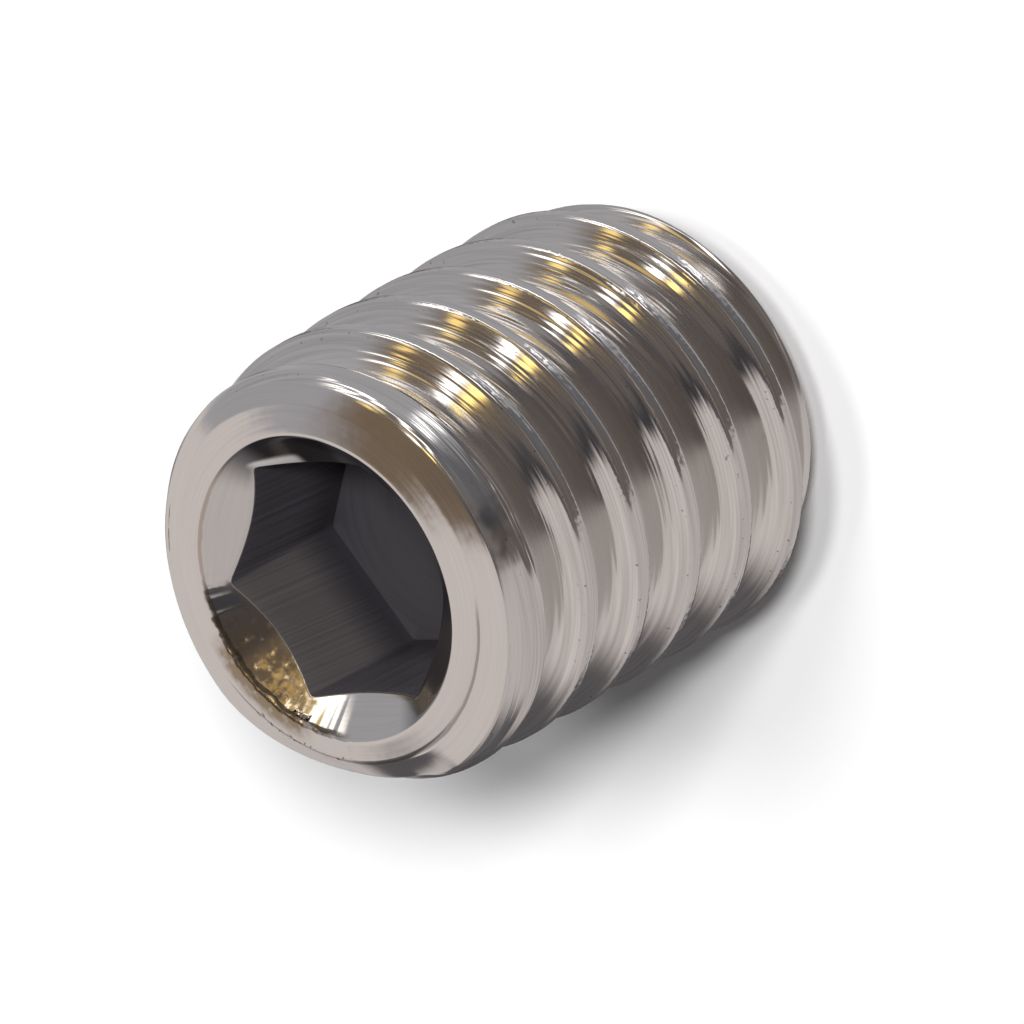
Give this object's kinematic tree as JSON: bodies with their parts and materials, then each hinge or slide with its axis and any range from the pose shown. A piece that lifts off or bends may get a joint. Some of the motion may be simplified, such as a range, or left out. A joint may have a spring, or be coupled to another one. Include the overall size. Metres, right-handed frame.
{
  "type": "hexagon socket set screw",
  "caption": "Headless grub screw: a threaded steel cylinder with a hexagon socket in one end and a chamfered flat point at the other, driven into a tapped hole to clamp a shaft.",
  "frame": {"origin": "centre of the flat point, on the thread axis", "axes": "+Z along the thread axis, from the flat point out through the socket; +X towards a corner of the hexagon socket"},
  "size_m": [0.004, 0.004, 0.005],
  "materials": {
    "steel": "bright turned steel with fine tool marks round the thread"
  },
  "bodies": {
    "root": {"set_screw": "steel"}
  },
  "joints": []
}
